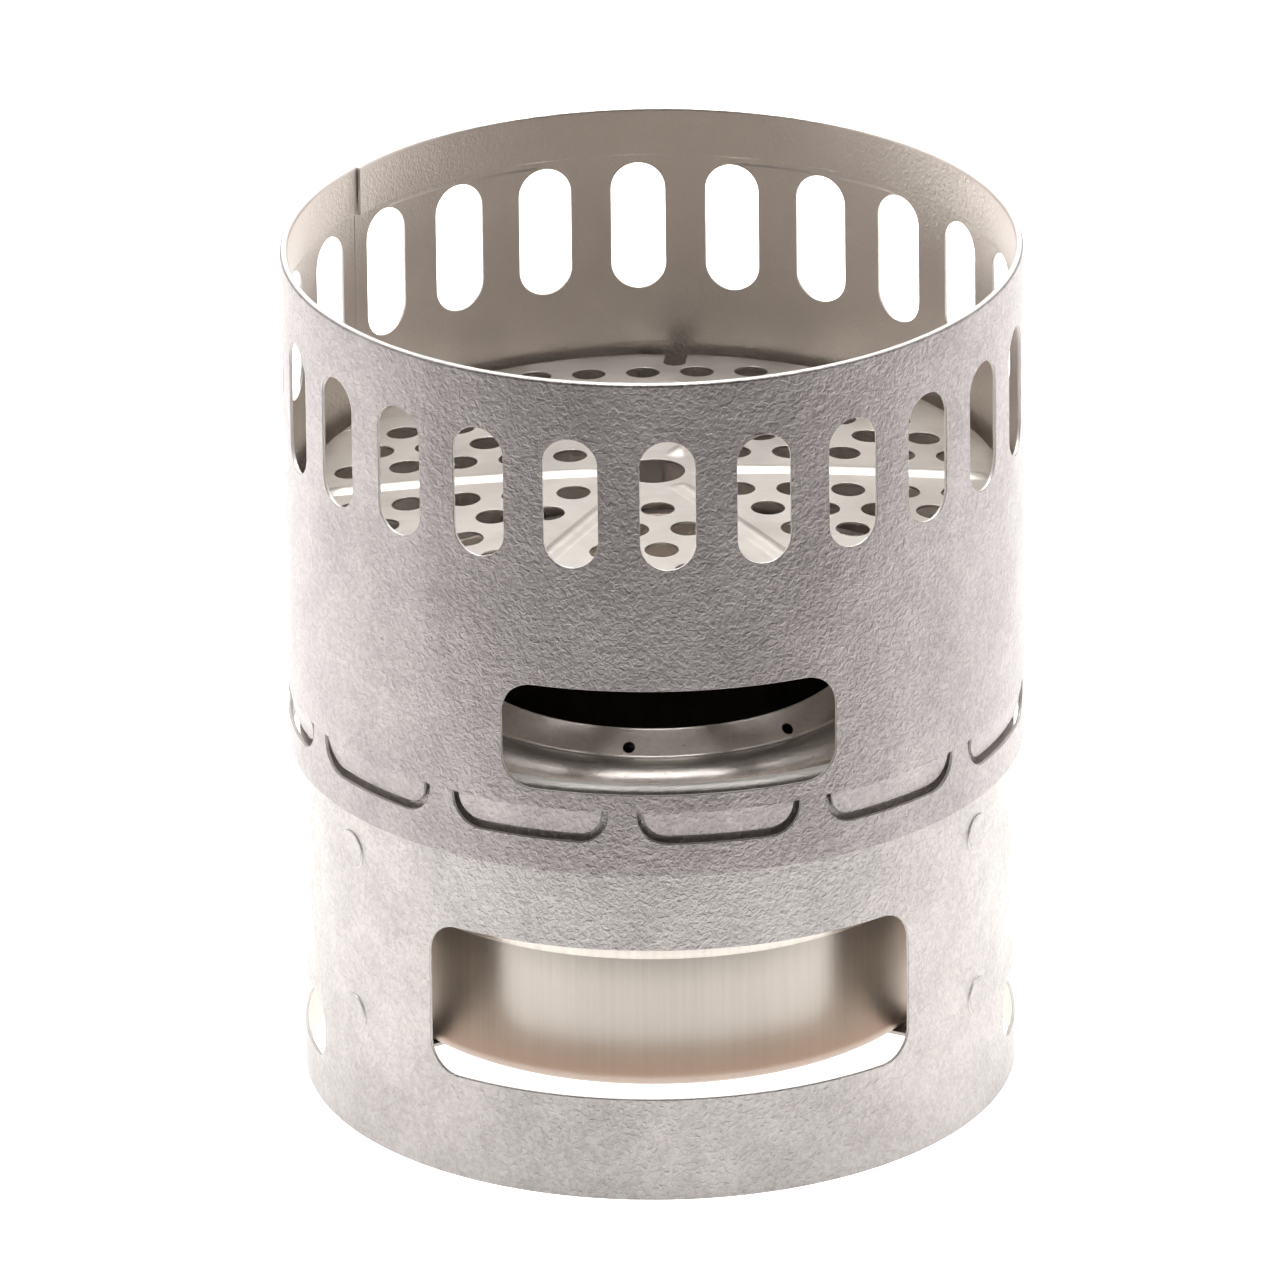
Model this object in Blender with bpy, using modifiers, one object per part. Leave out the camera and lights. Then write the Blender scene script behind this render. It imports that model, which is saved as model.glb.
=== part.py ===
"""A two-piece titanium stove stand with its fire grate and a double-wall spirit burner.

The lower shell stands on the ground and carries the burner on four welded brackets. The upper shell
slips over it as windscreen and pot support, and the fire grate stands on the lower shell's lip.
Metres, +Z up, origin on the axis at the lower shell's bottom edge, windows facing -Y.
Angles are in degrees from the front, -Y, and positive towards +X.
"""

import math

import bmesh
import bpy
from mathutils import Vector

MM = 0.001
SHEET = 0.4 * MM
CLEARANCE = 0.3 * MM
DRAWING_UNIT = MM  # blanks are drawn in millimetres, so that the fill keeps their small features
MERGE = 0.001 * MM
ROLL_STEPS = 48
TURN_STEPS = 36

UPPER_RADIUS = 44.5 * MM
UPPER_BASE = 43.0 * MM
UPPER_TOP = 106.3 * MM
UPPER_SEAM = -127.5
HEM_END = 100.1 * MM
HEM_GAP = 0.15 * MM
HEM_FLATS = 3

SLOT_COUNT = 24
SLOT_WIDTH = 6.6 * MM
SLOT_HEIGHTS = (82.5 * MM, 98.9 * MM)
UPPER_WINDOW = {"centre": 0, "half": 26.6, "heights": (53.5 * MM, 66.9 * MM), "corner": 4 * MM}

TAB_COUNT = 12
TAB_START = 7.5
TAB_HALF_WIDTH = 9.2 * MM
TAB_HINGE = 51.3 * MM
TAB_TIP = 47.6 * MM
TAB_CORNER = 3.3 * MM
TAB_SLIT = 0.5 * MM
TAB_BEND = 0.6 * MM

LOWER_RADIUS = 43.2 * MM
LOWER_TOP = 53.8 * MM
LOWER_SEAM = -144.3
LIP_BEND = 1.0 * MM
LIP_INNER_RADIUS = 41.4 * MM
LIP_FLATS = 4
LOWER_WINDOWS = (
    {"centre": 0, "half": 41.6, "heights": (13.2 * MM, 32.7 * MM), "corner": 4 * MM},
    {"centre": 180, "half": 31.0, "heights": (13.2 * MM, 32.7 * MM), "corner": 4 * MM},
    {"centre": 105.5, "half": 33.5, "heights": (5.8 * MM, 13.5 * MM), "corner": 3 * MM},
    {"centre": -105.5, "half": 33.5, "heights": (5.8 * MM, 13.5 * MM), "corner": 3 * MM},
)

GRATE_RADIUS = 42.3 * MM
GRATE_HEIGHT = 74.4 * MM
GRATE_CROWN = 2.1 * MM
GRATE_EYE_RADIUS = 3.75 * MM
HOLE_RADIUS = 2.05 * MM
HOLE_PITCH = 6.6 * MM
HOLE_ROWS = 5
HOLE_SIDES = 6
RIB_START = 30
RIB_HALF_WIDTH = 1.5 * MM
RIB_HEIGHT = 1.0 * MM
RIB_FADE = 3 * MM
RIB_SPAN = (4 * MM, 41 * MM)
NOTCH_START = 54.0
NOTCH_WIDTH = 2.7 * MM
NOTCH_DEPTH = 5.4 * MM
LEG_START = 58.5
LEG_WIDTH = 3.0 * MM
LEG_COUNT = 3

BURNER_RADIUS = 35.5 * MM
BURNER_BASE = 10.7 * MM
BURNER_TOP = 53.2 * MM
OPENING_RADIUS = 23.4 * MM
JOINT_HEIGHT = 28.2 * MM
CUP_TOP = 33.0 * MM
CUP_CORNER = 4 * MM
CONE_TOP = (24.0 * MM, 53.1 * MM)
CONE_FOOT = (26.3 * MM, 51.0 * MM)
GROOVE = (26.6 * MM, 50.7 * MM)
SHOULDER_CREST = (30.6 * MM, 51.5 * MM)
SHOULDER_DROP = 46.0 * MM
SLEEVE_RADIUS = 24.2 * MM
SLEEVE_HEIGHTS = (12.0 * MM, 51.9 * MM)
JET_COUNT = 8
JET_START = -9.6
JET_RADIUS = 0.75 * MM

BRACKET_ANGLES = (-60.5, 60.5, -143.5, 143.5)
BRACKET_WIDTH = 5.6 * MM
BRACKET_TOP = 40.4 * MM
BRACKET_BEND = 1.0 * MM
FOOT_REACH = 30 * MM


def clear_scene():
    for old in list(bpy.data.objects):
        bpy.data.objects.remove(old)


def new_collection(name):
    collection = bpy.data.collections.new(name)
    bpy.context.scene.collection.children.link(collection)
    return collection


def titanium(name, colour, roughness):
    material = bpy.data.materials.new(name)
    material.use_nodes = True
    shader = material.node_tree.nodes["Principled BSDF"]
    shader.inputs["Base Color"].default_value = (*colour, 1)
    shader.inputs["Roughness"].default_value = roughness
    shader.inputs["Metallic"].default_value = 1
    return material


def arc(centre, radius, start, end, steps):
    """Points on an arc, angles in degrees, both ends included."""
    turns = [math.radians(start + (end - start) * i / steps) for i in range(steps + 1)]
    return [(centre[0] + radius * math.cos(t), centre[1] + radius * math.sin(t)) for t in turns]


def rounded_rectangle(x0, x1, y0, y1, corner, steps=3):
    corners = ((x1, y1, 0), (x0, y1, 90), (x0, y0, 180), (x1, y0, 270))
    points = []
    for x, y, start in corners:
        centre = (x - corner if x == x1 else x + corner, y - corner if y == y1 else y + corner)
        points += arc(centre, corner, start, start + 90, steps)
    return points


def plate(outlines, thickness):
    """A flat plate in bmesh from closed outlines: the first is its edge and the others are its holes."""
    curve = bpy.data.curves.new("outline", "CURVE")
    curve.dimensions = "2D"
    curve.fill_mode = "BOTH"
    curve.extrude = thickness / 2 / DRAWING_UNIT
    for outline in outlines:
        spline = curve.splines.new("POLY")
        spline.points.add(len(outline) - 1)
        for point, (x, y) in zip(spline.points, outline):
            point.co = (x / DRAWING_UNIT, y / DRAWING_UNIT, 0, 1)
        spline.use_cyclic_u = True
    drawing = bpy.data.objects.new("outline", curve)
    bpy.context.scene.collection.objects.link(drawing)
    bpy.context.view_layer.update()
    graph = bpy.context.evaluated_depsgraph_get()
    drawn = bpy.data.meshes.new_from_object(drawing.evaluated_get(graph))
    bpy.data.objects.remove(drawing)
    bm = bmesh.new()
    bm.from_mesh(drawn)
    bpy.data.meshes.remove(drawn)
    bmesh.ops.scale(bm, vec=(DRAWING_UNIT,) * 3, verts=bm.verts)
    bmesh.ops.remove_doubles(bm, verts=bm.verts, dist=MERGE)
    return bm


def score(bm, normal, offsets):
    """Adds edges across a plate where it will bend: on the plane of this normal, at each offset."""
    normal = Vector(normal)
    for offset in offsets:
        geometry = bm.verts[:] + bm.edges[:] + bm.faces[:]
        cut = bmesh.ops.bisect_plane(bm, geom=geometry, dist=MERGE, plane_co=normal * offset, plane_no=normal)
        for found in cut["geom_cut"]:
            if isinstance(found, bmesh.types.BMEdge):
                found.seam = True


def clear_between_scores(bm):
    """Joins the faces between the scored lines, so that a bend folds only on those lines."""
    bmesh.ops.dissolve_limit(
        bm, angle_limit=math.radians(1), verts=bm.verts, edges=bm.edges, delimit={"SEAM"}
    )
    bmesh.ops.triangulate(bm, faces=bm.faces, ngon_method="BEAUTY")
    for edge in bm.edges:
        edge.seam = False


def piece(name, bm, material, collection, parent=None):
    """The object of a finished bmesh."""
    bmesh.ops.recalc_face_normals(bm, faces=bm.faces)
    mesh = bpy.data.meshes.new(name)
    bm.to_mesh(mesh)
    bm.free()
    mesh.shade_smooth()
    mesh.set_sharp_from_angle(angle=math.radians(30))
    mesh.materials.append(material)
    made = bpy.data.objects.new(name, mesh)
    made.parent = parent
    collection.objects.link(made)
    return made


def lift(name, collection):
    """An empty on the stove's axis, which carries the pieces that lift off together."""
    empty = bpy.data.objects.new(name, None)
    collection.objects.link(empty)
    return empty


def fold(run, offset, start, radius, turn, middle):
    """(radius, height) of a rolled sheet's point: up the wall, round a bend at start, then straight on."""
    over = run - start
    if over <= 0:
        return middle + offset, run
    angle = min(over / radius, turn)
    rest = over - radius * angle
    return (
        middle - radius + (radius + offset) * math.cos(angle) - rest * math.sin(angle),
        start + (radius + offset) * math.sin(angle) + rest * math.cos(angle),
    )


def rolled_shell(outlines, seam, middle, bend, extra_scores, press):
    """A blank, drawn as arc length from the front against height, rolled into a ring and welded at its seam."""
    bm = plate(outlines, SHEET)
    step = 2 * math.pi * middle / ROLL_STEPS
    first = math.radians(seam) * middle
    score(bm, (1, 0, 0), [first + step * i for i in range(1, ROLL_STEPS)])
    score(bm, (0, 1, 0), extra_scores)
    clear_between_scores(bm)
    ends = (first, first + step * ROLL_STEPS)
    caps = [f for f in bm.faces if any(all(abs(v.co.x - x) < MERGE for v in f.verts) for x in ends)]
    bmesh.ops.delete(bm, geom=caps, context="FACES_ONLY")
    for vertex in bm.verts:
        along, run, offset = vertex.co
        radius, height = bend(run, offset)
        radius -= press(along, run)
        angle = along / middle
        vertex.co = (radius * math.sin(angle), -radius * math.cos(angle), height)
    bmesh.ops.remove_doubles(bm, verts=bm.verts, dist=MERGE)
    return bm


def blank_edge(seam, middle, bottom, top):
    left = math.radians(seam) * middle
    right = left + 2 * math.pi * middle
    return [(left, bottom), (right, bottom), (right, top), (left, top)]


def near(angle, seam):
    """The same direction, written so that it lies on the blank that starts at the seam."""
    return seam + (angle - seam) % 360


def window(opening, seam, middle):
    centre = math.radians(near(opening["centre"], seam)) * middle
    half = math.radians(opening["half"]) * middle
    return rounded_rectangle(centre - half, centre + half, *opening["heights"], opening["corner"])


def tab_slit(centre):
    """The U-shaped cut that frees a tab, open at its hinge."""
    low = TAB_TIP + TAB_CORNER
    inner = TAB_HALF_WIDTH - TAB_CORNER
    outer_bend = TAB_CORNER + TAB_SLIT
    points = [(centre - inner - outer_bend, TAB_HINGE)]
    points += arc((centre - inner, low), outer_bend, 180, 270, 3)
    points += arc((centre + inner, low), outer_bend, 270, 360, 3)
    points += [(centre + inner + outer_bend, TAB_HINGE), (centre + inner + TAB_CORNER, TAB_HINGE)]
    points += arc((centre + inner, low), TAB_CORNER, 360, 270, 3)
    points += arc((centre - inner, low), TAB_CORNER, 270, 180, 3)
    return points + [(centre - inner - TAB_CORNER, TAB_HINGE)]


def tab_press(along, run, centres):
    """How far a point is pressed inward: the tabs lean in from their hinges, and the rest stays."""
    if not TAB_TIP - MERGE < run < TAB_HINGE:
        return 0
    across = min(abs(along - centre) for centre in centres)
    past_side = max(across - (TAB_HALF_WIDTH - TAB_CORNER), 0)
    past_tip = max(TAB_TIP + TAB_CORNER - run, 0)
    if math.hypot(past_side, past_tip) > TAB_CORNER + TAB_SLIT / 4:
        return 0
    return TAB_BEND * (TAB_HINGE - run) / (TAB_HINGE - TAB_TIP)


def upper_shell(collection, parent):
    middle = UPPER_RADIUS - SHEET / 2
    radius = (SHEET + HEM_GAP) / 2
    # The middle flat of the hem's bend is level, and carries the pot at UPPER_TOP.
    start = UPPER_TOP - (radius + SHEET / 2) * math.cos(math.pi / HEM_FLATS / 2)
    top = start + math.pi * radius + (start - HEM_END)
    outlines = [blank_edge(UPPER_SEAM, middle, UPPER_BASE, top), window(UPPER_WINDOW, UPPER_SEAM, middle)]
    for i in range(SLOT_COUNT):
        centre = math.radians(near(360 / SLOT_COUNT * i, UPPER_SEAM)) * middle
        half = SLOT_WIDTH / 2
        outlines.append(rounded_rectangle(centre - half, centre + half, *SLOT_HEIGHTS, half * 0.999))
    turns = [near(TAB_START + 360 / TAB_COUNT * i, UPPER_SEAM) for i in range(TAB_COUNT)]
    tabs = [math.radians(turn) * middle for turn in turns]
    outlines += [tab_slit(centre) for centre in tabs]
    scores = [start + math.pi * radius * i / HEM_FLATS for i in range(HEM_FLATS + 1)]
    bm = rolled_shell(
        outlines,
        UPPER_SEAM,
        middle,
        lambda run, offset: fold(run, offset, start, radius, math.pi, middle),
        [TAB_HINGE, *scores],
        lambda along, run: tab_press(along, run, tabs),
    )
    piece("upper_shell", bm, titanium("upper_titanium", (0.58, 0.56, 0.54), 0.42), collection, parent)


def lower_shell(collection):
    middle = LOWER_RADIUS - SHEET / 2
    start = LOWER_TOP - LIP_BEND - SHEET / 2
    quarter = math.pi / 2
    top = start + quarter * LIP_BEND + (middle - LIP_BEND - LIP_INNER_RADIUS)
    outlines = [blank_edge(LOWER_SEAM, middle, 0, top)]
    outlines += [window(opening, LOWER_SEAM, middle) for opening in LOWER_WINDOWS]
    bm = rolled_shell(
        outlines,
        LOWER_SEAM,
        middle,
        lambda run, offset: fold(run, offset, start, LIP_BEND, quarter, middle),
        [start + quarter * LIP_BEND * i / LIP_FLATS for i in range(LIP_FLATS + 1)],
        lambda along, run: 0,
    )
    piece("lower_shell", bm, titanium("lower_titanium", (0.60, 0.58, 0.55), 0.42), collection)


def polar(radius, degrees):
    angle = math.radians(degrees)
    return radius * math.sin(angle), -radius * math.cos(angle)


def circle(x, y, radius, sides):
    return arc((x, y), radius, 0, 360 - 360 / sides, sides - 1)


def grate_edge():
    """The disc's outline, with a relief notch beside each leg."""
    points = []
    half = math.degrees(NOTCH_WIDTH / 2 / GRATE_RADIUS)
    step = 360 / ROLL_STEPS
    for i in range(LEG_COUNT):
        notch = NOTCH_START + 360 / LEG_COUNT * i
        x, y = polar(GRATE_RADIUS - NOTCH_DEPTH, notch)
        side = polar(NOTCH_WIDTH / 2, notch + 90)
        points += [polar(GRATE_RADIUS, notch - half), (x - side[0], y - side[1])]
        points += [(x + side[0], y + side[1]), polar(GRATE_RADIUS, notch + half)]
        last = 360 / LEG_COUNT - 2 * half
        points += [polar(GRATE_RADIUS, notch + half + step * j) for j in range(1, int(last / step))]
    return points


def crown(reach):
    """How far the disc's dome stands above its edge, at this distance from its centre."""
    return GRATE_CROWN * (1 - (reach / GRATE_RADIUS) ** 2)


def grate_disc():
    outlines = [grate_edge(), circle(0, 0, GRATE_EYE_RADIUS, 16)]
    row_pitch = HOLE_PITCH * math.sqrt(3) / 2
    for sector in range(6):
        out = polar(1, 60 * sector)
        for row in range(1, HOLE_ROWS + 1):
            for place in range(row):
                along = row_pitch * (row + 1)
                across = HOLE_PITCH * (place - (row - 1) / 2)
                x = out[0] * along - out[1] * across
                y = out[1] * along + out[0] * across
                outlines.append(circle(x, y, HOLE_RADIUS, HOLE_SIDES))
    bm = plate(outlines, SHEET)
    for i in range(3):
        across = (*polar(1, RIB_START + 60 * i + 90), 0)
        score(bm, across, (-RIB_HALF_WIDTH, 0, RIB_HALF_WIDTH))
    for vertex in bm.verts:
        x, y, _ = vertex.co
        vertex.co.z += GRATE_HEIGHT + crown(math.hypot(x, y)) + rib_height(x, y)
    return bm


def rib_height(x, y):
    """How far the pressed ribs raise a point of the disc."""
    reach = math.hypot(x, y)
    ends = min(reach - RIB_SPAN[0], RIB_SPAN[1] - reach) / RIB_FADE
    height = 0
    for i in range(6):
        along = polar(1, RIB_START + 60 * i)
        if along[0] * x + along[1] * y > 0:
            off = abs(along[0] * y - along[1] * x) / RIB_HALF_WIDTH
            height = max(height, RIB_HEIGHT * max(0, 1 - off) * min(max(ends, 0), 1))
    return height


def box(name, size, place, turn, collection, parent=None):
    bm = bmesh.new()
    bmesh.ops.create_cube(bm, size=1)
    bmesh.ops.scale(bm, vec=size, verts=bm.verts)
    mesh = bpy.data.meshes.new(name)
    bm.to_mesh(mesh)
    bm.free()
    made = bpy.data.objects.new(name, mesh)
    made.location = place
    made.rotation_euler = (0, 0, turn)
    made.parent = parent
    collection.objects.link(made)
    return made


def as_tool(tool):
    tool.hide_render = True
    tool.display_type = "WIRE"
    return tool


def boolean(target, tool, operation):
    modifier = target.modifiers.new(tool.name, "BOOLEAN")
    modifier.object = tool
    modifier.operation = operation
    modifier.solver = "EXACT"


def fire_grate(collection, tools, parent):
    """The perforated disc, with three legs bent down at its edge, which stand on the lower shell's lip."""
    finish = titanium("grate_titanium", (0.66, 0.63, 0.59), 0.34)
    grate = piece("fire_grate", grate_disc(), finish, collection, parent)
    foot = LOWER_TOP + CLEARANCE
    height = GRATE_HEIGHT + SHEET / 4 - foot
    for i in range(LEG_COUNT):
        degrees = LEG_START + 360 / LEG_COUNT * i
        x, y = polar(GRATE_RADIUS - SHEET, degrees)
        place = (x, y, foot + height / 2)
        size = (LEG_WIDTH, SHEET, height)
        leg = box(f"leg_{i + 1}", size, place, math.radians(degrees), tools, parent)
        boolean(grate, as_tool(leg), "UNION")


def turned_sheet(name, profile, finish, collection, parent):
    """A spun sheet: its outer profile, from the inner edge over the top and down the side, turned round Z."""
    mesh = bpy.data.meshes.new(name)
    points = [(radius, 0, height) for radius, height in profile]
    mesh.from_pydata(points, [(i, i + 1) for i in range(len(points) - 1)], [])
    mesh.materials.append(finish)
    made = bpy.data.objects.new(name, mesh)
    made.parent = parent
    collection.objects.link(made)
    screw = made.modifiers.new("turn", "SCREW")
    screw.axis = "Z"
    screw.angle = 2 * math.pi
    screw.steps = TURN_STEPS
    screw.render_steps = TURN_STEPS
    screw.use_merge_vertices = True
    screw.merge_threshold = MERGE
    screw.use_smooth_shade = True
    wall = made.modifiers.new("wall", "SOLIDIFY")
    wall.thickness = SHEET
    wall.offset = -1
    wall.use_even_offset = True
    return made


def burner_jacket(collection, tools, parent):
    """The burner's outer cup: opening lip, jet cone, groove, rounded shoulder and the skirt over the cup."""
    lip = [(OPENING_RADIUS, BURNER_TOP - 0.7 * MM), (OPENING_RADIUS, BURNER_TOP - 0.3 * MM)]
    lip += [(OPENING_RADIUS + 0.25 * MM, BURNER_TOP), CONE_TOP]
    rise = SHOULDER_CREST[1] - SHOULDER_DROP
    reach = BURNER_RADIUS - SHOULDER_CREST[0]
    shoulder = [
        (SHOULDER_CREST[0] + reach * math.sin(t), SHOULDER_DROP + rise * math.cos(t))
        for t in (math.pi / 2 * i / 4 for i in range(5))
    ]
    inner_shoulder = (GROOVE[0] + (SHOULDER_CREST[0] - GROOVE[0]) / 2, SHOULDER_CREST[1] - 0.15 * MM)
    profile = [*lip, CONE_FOOT, GROOVE, inner_shoulder, *shoulder, (BURNER_RADIUS, JOINT_HEIGHT)]
    finish = titanium("burner_titanium", (0.52, 0.49, 0.46), 0.30)
    jacket = turned_sheet("burner_jacket", profile, finish, collection, parent)
    slope = math.atan2(CONE_FOOT[0] - CONE_TOP[0], CONE_TOP[1] - CONE_FOOT[1])
    for i in range(JET_COUNT):
        degrees = JET_START + 360 / JET_COUNT * i
        x, y = polar((CONE_TOP[0] + 2 * CONE_FOOT[0]) / 3, degrees)
        bm = bmesh.new()
        bmesh.ops.create_cone(
            bm, cap_ends=True, segments=8, radius1=JET_RADIUS, radius2=JET_RADIUS, depth=2.4 * MM
        )
        drill = piece(f"jet_drill_{i + 1}", bm, finish, tools, parent)
        drill.location = (x, y, (CONE_TOP[1] + 2 * CONE_FOOT[1]) / 3)
        drill.rotation_euler = (math.pi / 2 - slope, 0, math.radians(degrees))
        boolean(jacket, as_tool(drill), "DIFFERENCE")


def burner_cup(collection, parent):
    """The lower cup, which slips up inside the jacket and holds the fuel."""
    radius = BURNER_RADIUS - SHEET - CLEARANCE
    corner = arc((radius - CUP_CORNER, BURNER_BASE + CUP_CORNER), CUP_CORNER, 0, -90, 4)
    profile = [(radius, CUP_TOP), *corner, (0, BURNER_BASE)]
    turned_sheet("burner_cup", profile, titanium("cup_titanium", (0.56, 0.52, 0.47), 0.36), collection, parent)


def burner_inner_sleeve(collection, parent):
    """The inner wall, open at its foot so that the fuel reaches the vapour space between the walls."""
    low, high = SLEEVE_HEIGHTS
    profile = [(SLEEVE_RADIUS, high), (SLEEVE_RADIUS, low)]
    finish = titanium("sleeve_titanium", (0.40, 0.37, 0.35), 0.40)
    turned_sheet("burner_inner_sleeve", profile, finish, collection, parent)


def burner_bracket(index, degrees, finish, collection):
    """An L-shaped strip welded to the lower shell's inside, with a foot under the burner."""
    outside = LOWER_RADIUS - SHEET - CLEARANCE
    top_of_foot = BURNER_BASE - CLEARANCE
    centre = (outside - SHEET / 2 - BRACKET_BEND, top_of_foot - SHEET / 2 + BRACKET_BEND)
    outline = [(FOOT_REACH, top_of_foot - SHEET)]
    outline += arc(centre, BRACKET_BEND + SHEET / 2, -90, 0, 4)
    outline += [(outside, BRACKET_TOP), (outside - SHEET, BRACKET_TOP)]
    outline += arc(centre, BRACKET_BEND - SHEET / 2, 0, -90, 4)
    outline += [(FOOT_REACH, top_of_foot)]
    bracket = piece(f"burner_bracket_{index}", plate([outline], BRACKET_WIDTH), finish, collection)
    bracket.rotation_euler = (math.pi / 2, 0, math.radians(degrees - 90))


def main():
    clear_scene()
    stove = new_collection("titanium_stove_stand")
    tools = new_collection("cutters_and_guides")
    upper_lift = lift("upper_lift", stove)
    grate_lift = lift("grate_lift", stove)
    burner_lift = lift("burner_lift", stove)
    lower_shell(stove)
    finish = titanium("bracket_titanium", (0.50, 0.48, 0.45), 0.45)
    for index, degrees in enumerate(BRACKET_ANGLES, 1):
        burner_bracket(index, degrees, finish, stove)
    upper_shell(stove, upper_lift)
    fire_grate(stove, tools, grate_lift)
    burner_cup(stove, burner_lift)
    burner_inner_sleeve(stove, burner_lift)
    burner_jacket(stove, tools, burner_lift)


main()
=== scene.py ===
"""The finished look of the titanium stove stand and its spirit burner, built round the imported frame.

Metres, +Z up, windows facing -Y. Angles are in degrees from the front, positive towards +X.
"""

import math

import bmesh
import bpy
from mathutils import Matrix, Vector


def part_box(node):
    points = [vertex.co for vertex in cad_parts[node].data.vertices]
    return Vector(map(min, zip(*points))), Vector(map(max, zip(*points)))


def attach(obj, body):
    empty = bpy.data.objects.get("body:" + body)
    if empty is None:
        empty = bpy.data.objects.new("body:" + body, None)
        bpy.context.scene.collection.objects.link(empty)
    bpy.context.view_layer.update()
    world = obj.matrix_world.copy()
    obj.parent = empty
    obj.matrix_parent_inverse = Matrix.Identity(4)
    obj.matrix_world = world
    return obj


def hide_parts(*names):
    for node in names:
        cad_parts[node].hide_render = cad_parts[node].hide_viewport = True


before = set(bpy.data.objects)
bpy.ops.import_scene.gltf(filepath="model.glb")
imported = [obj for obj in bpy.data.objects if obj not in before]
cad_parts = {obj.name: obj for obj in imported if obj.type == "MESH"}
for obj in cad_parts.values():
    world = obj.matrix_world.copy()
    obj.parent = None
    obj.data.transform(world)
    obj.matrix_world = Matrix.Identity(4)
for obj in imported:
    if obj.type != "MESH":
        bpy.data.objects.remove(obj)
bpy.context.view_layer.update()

MM = 0.001
SHEET = 0.4 * MM
DRAWING_UNIT = MM  # blanks are drawn in millimetres, so that the fill keeps their small features
MERGE = 0.0005 * MM
SAME_FACE = 0.002 * MM  # a point this near a blank's surface lies on it
EDGE_ROUND = 0.10 * MM
FINE_ROUND = 0.08 * MM
ROLL_STEPS = 180
SPIN_STEPS = 192
SLEEVE_STEPS = 128
SPIN_MERGE = 1e-7

# The shells, read from the frame where it holds them.
UPPER_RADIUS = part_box("upper_shell")[1].x
UPPER_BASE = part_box("upper_shell")[0].z
UPPER_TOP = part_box("upper_shell")[1].z
LOWER_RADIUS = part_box("lower_shell")[1].x
LOWER_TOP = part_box("lower_shell")[1].z

UPPER_SEAM = -127.5
SEAM_LAP = 0.42 * MM
SEAM_EASE = 22.0
SEAM_GAP = 0.04 * MM
HEM_END = 100.1 * MM
HEM_GAP = 0.12 * MM
HEM_FLATS = 10
SLOT_COUNT = 24
SLOT_WIDTH = 6.6 * MM
SLOT_HEIGHTS = (82.5 * MM, 98.9 * MM)
LAP_FROM = SLOT_HEIGHTS[1] + 0.5 * MM
UPPER_WINDOW = {"centre": 0, "half": 26.6, "heights": (53.5 * MM, 66.9 * MM), "corner": 4 * MM}

TAB_COUNT = 12
TAB_START = 7.5
TAB_HALF_WIDTH = 9.1 * MM
TAB_HINGE = 51.3 * MM
TAB_TIP = 48.0 * MM
TAB_CORNER = 2.9 * MM
TAB_SLIT = 0.82 * MM
TAB_BEND = 0.6 * MM
TAB_CREASE = 0.3 * MM

LOWER_SEAM = -144.3
LIP_BEND = 1.0 * MM
LIP_INNER_RADIUS = 41.4 * MM
LIP_FLATS = 8
LOWER_WINDOWS = (
    {"centre": 0, "half": 41.6, "heights": (13.2 * MM, 32.7 * MM), "corner": 4 * MM},
    {"centre": 180, "half": 31.0, "heights": (13.2 * MM, 32.7 * MM), "corner": 4 * MM},
    {"centre": 105.5, "half": 33.5, "heights": (5.8 * MM, 13.5 * MM), "corner": 3 * MM},
    {"centre": -105.5, "half": 33.5, "heights": (5.8 * MM, 13.5 * MM), "corner": 3 * MM},
)
WELD_ANGLES = (-60.5, 60.5, -143.5, 143.5)
WELD_HEIGHTS = (16.0 * MM, 37.4 * MM)
WELD_RADIUS = 2.5 * MM
WELD_RISE = 0.22 * MM
WELD_SIDES = 40
WELD_PROFILE = ((0, 0.55), (0.35, 0.62), (0.7, 0.8), (0.86, 1.0), (0.95, 0.75), (1.0, -0.6))

GRATE_RADIUS = 42.3 * MM
GRATE_HEIGHT = 74.4 * MM
GRATE_CROWN = 2.1 * MM
GRATE_EYE_RADIUS = 3.75 * MM
GRATE_RIM = 1.2 * MM  # the width and the drop of the edge that is rolled down
GRATE_RIM_DROP = 0.25 * MM
GRATE_GRID = 2.5 * MM
HOLE_RADIUS = 2.05 * MM
HOLE_PITCH = 6.6 * MM
HOLE_ROWS = 5
RIB_START = 30
RIB_HALF_WIDTH = 1.5 * MM
RIB_HEIGHT = 0.5 * MM
RIB_SPAN = (4.6 * MM, 40.4 * MM)
RIB_FADE = 2 * MM
NOTCH_START = 54.0
NOTCH_WIDTH = 2.7 * MM
NOTCH_DEPTH = 5.4 * MM
LEG_START = 58.5
LEG_WIDTH = 3.0 * MM
LEG_COUNT = 3
LEG_FOOT_GAP = 0.3 * MM
LEG_HEAD_DROP = 0.15 * MM
LEG_CORNER = 0.8 * MM
LEG_BEND_DROP = 0.6 * MM  # the bend starts this far under the leg's head, and the blank ends above it
LEG_BLANK_RISE = 0.9 * MM
LEG_BEND = 0.5 * MM
LEG_TURN = 80
LEG_FLATS = 9
LEG_FLAT = 0.18 * MM

BURNER_RADIUS = 35.5 * MM
BURNER_BASE = 10.7 * MM
BURNER_TOP = 53.2 * MM
OPENING_RADIUS = 23.4 * MM
OPENING_DEPTH = 0.8 * MM
OPENING_LIP = 0.35 * MM
JOINT_HEIGHT = 28.2 * MM
CUP_TOP = 33.0 * MM
CUP_CORNER = 2.2 * MM
CUP_CLEARANCE = 0.3 * MM
CUP_WALL_BREAK = 24 * MM
BASE_RING = (24 * MM, 23 * MM)  # the flat of the base ends here, and its dished middle begins
BASE_DISH = 0.35 * MM
BASE_MIDDLE = 12 * MM
SLEEVE_WAIST = 0.12 * MM
SLEEVE_LEVELS = 24
CONE_TOP = (24.0 * MM, 53.1 * MM)
CONE_FOOT = (26.3 * MM, 51.0 * MM)
GROOVE = (26.6 * MM, 50.75 * MM)
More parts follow.
